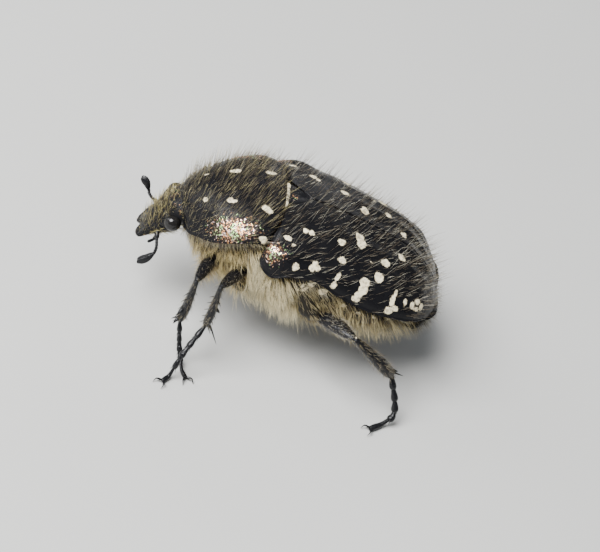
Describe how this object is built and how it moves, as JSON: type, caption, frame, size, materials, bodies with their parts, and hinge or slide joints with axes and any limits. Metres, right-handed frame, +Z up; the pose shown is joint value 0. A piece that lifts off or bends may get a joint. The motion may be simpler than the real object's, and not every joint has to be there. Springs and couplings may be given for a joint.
{
  "type": "white-spotted rose beetle",
  "caption": "Life-size still model of a hairy black flower chafer with cream spots, standing on its six feet with its head bent down.",
  "frame": {"origin": "centre of the outline seen from above, on the floor that the six feet stand on", "axes": "head towards -Y, tail towards +Y, the beetle's left side towards +X, +Z up from the floor"},
  "size_m": [0.0099, 0.0119, 0.0069],
  "materials": {
    "head_cuticle": "black punctured cuticle with golden hair",
    "eye": "polished black",
    "antenna": "satin black",
    "pronotum": "glossy punctured black with pale hair and cream spots",
    "elytra": "glossy punctured black with pale hair and cream spots",
    "underside": "shaggy cream to golden hair over black",
    "leg": "glossy black with pale hairs"
  },
  "bodies": {
    "root": {"head": "head_cuticle", "eye_L": "eye", "eye_R": "eye", "antenna_L": "antenna", "antenna_R": "antenna", "pronotum": "pronotum", "scutellum": "pronotum", "elytron_L": "elytra", "elytron_R": "elytra", "prothorax": "underside", "thorax": "underside", "abdomen": "underside", "pygidium": "underside", "femur_front_L": "leg", "femur_front_R": "leg", "femur_mid_L": "leg", "femur_mid_R": "leg", "femur_hind_L": "leg", "femur_hind_R": "leg", "tibia_front_L": "leg", "tibia_front_R": "leg", "tibia_mid_L": "leg", "tibia_mid_R": "leg", "tibia_hind_L": "leg", "tibia_hind_R": "leg", "tarsus_front_L": "leg", "tarsus_front_R": "leg", "tarsus_mid_L": "leg", "tarsus_mid_R": "leg", "tarsus_hind_L": "leg", "tarsus_hind_R": "leg"}
  },
  "joints": []
}
